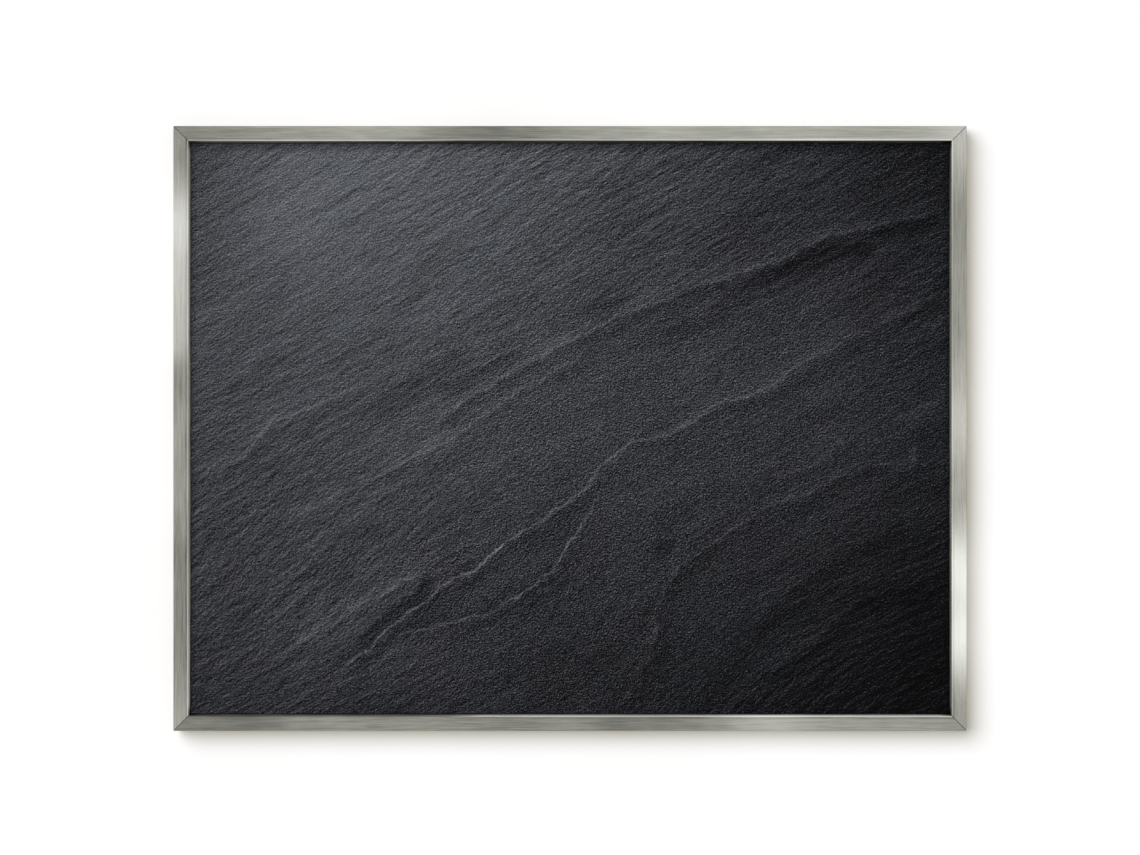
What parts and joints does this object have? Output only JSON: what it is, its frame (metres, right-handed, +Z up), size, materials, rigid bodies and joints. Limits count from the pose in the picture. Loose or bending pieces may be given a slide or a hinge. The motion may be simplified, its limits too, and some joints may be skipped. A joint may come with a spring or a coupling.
{
  "type": "magnetic board",
  "caption": "Wall-hung magnetic board: slate-print steel panel in a mitred brushed metal frame with sliding ring hangers and rubber bumpers.",
  "frame": {"origin": "middle of the wall plane, the plane that the four rubber bumpers' faces touch", "axes": "+X to the right along the width as seen from the front, +Z up, +Y towards the wall; the printed face looks along -Y"},
  "size_m": [0.8, 0.025, 0.61],
  "materials": {
    "brushed_frame": "brushed along each rail, satin, steel-grey with a faint warm cast",
    "slate_print": "satin print film with a charcoal natural-slate pattern",
    "sheet_steel": "galvanised sheet, dull",
    "backing_fibreboard": "raw medium-density fibreboard",
    "zinc_plate": "bright zinc-plated steel",
    "spring_steel": "blued spring steel",
    "nickel_wire": "nickel-plated wire",
    "bumper_rubber": "matt black rubber"
  },
  "bodies": {
    "frame": {"bottom_rail": "brushed_frame", "left_rail": "brushed_frame", "top_rail": "brushed_frame", "right_rail": "brushed_frame", "printed_film": "slate_print", "steel_sheet": "sheet_steel", "backing_board": "backing_fibreboard", "corner_shim_bottom_left": "zinc_plate", "corner_shim_top_left": "zinc_plate", "corner_shim_top_right": "zinc_plate", "corner_shim_bottom_right": "zinc_plate", "corner_key_bottom_left": "zinc_plate", "corner_key_top_left": "zinc_plate", "corner_key_top_right": "zinc_plate", "corner_key_bottom_right": "zinc_plate", "key_screw_bottom_left_1": "zinc_plate", "key_screw_bottom_left_2": "zinc_plate", "key_screw_top_left_1": "zinc_plate", "key_screw_top_left_2": "zinc_plate", "key_screw_top_right_1": "zinc_plate", "key_screw_top_right_2": "zinc_plate", "key_screw_bottom_right_1": "zinc_plate", "key_screw_bottom_right_2": "zinc_plate", "bumper_bottom_left": "bumper_rubber", "bumper_top_left": "bumper_rubber", "bumper_top_right": "bumper_rubber", "bumper_bottom_right": "bumper_rubber", "spring_clip_bottom_1": "spring_steel", "spring_clip_bottom_2": "spring_steel", "spring_clip_bottom_3": "spring_steel", "spring_clip_left_1": "spring_steel", "spring_clip_left_2": "spring_steel", "spring_clip_top_1": "spring_steel", "spring_clip_top_2": "spring_steel", "spring_clip_top_3": "spring_steel", "spring_clip_right_1": "spring_steel", "spring_clip_right_2": "spring_steel"},
    "hanger_left": {"slide_nut_left": "zinc_plate", "hanger_strap_left": "zinc_plate", "clamp_screw_left": "zinc_plate"},
    "ring_left": {"d_ring_left": "nickel_wire"},
    "hanger_right": {"slide_nut_right": "zinc_plate", "hanger_strap_right": "zinc_plate", "clamp_screw_right": "zinc_plate"},
    "ring_right": {"d_ring_right": "nickel_wire"}
  },
  "joints": [
    {"name": "hanger_left_slide", "type": "slide", "parent": "frame", "child": "hanger_left", "axis": [0, 0, 1], "range_m": [-0.4535, 0.0635]},
    {"name": "ring_left_swing", "type": "hinge", "parent": "hanger_left", "child": "ring_left", "pos_m": [-0.39375, -0.00305, 0.202], "axis": [1, 0, 0], "range_deg": [-2.5, 182.5]},
    {"name": "hanger_right_slide", "type": "slide", "parent": "frame", "child": "hanger_right", "axis": [0, 0, 1], "range_m": [-0.4535, 0.0635]},
    {"name": "ring_right_swing", "type": "hinge", "parent": "hanger_right", "child": "ring_right", "pos_m": [0.39375, -0.00305, 0.202], "axis": [1, 0, 0], "range_deg": [-2.5, 182.5]}
  ]
}
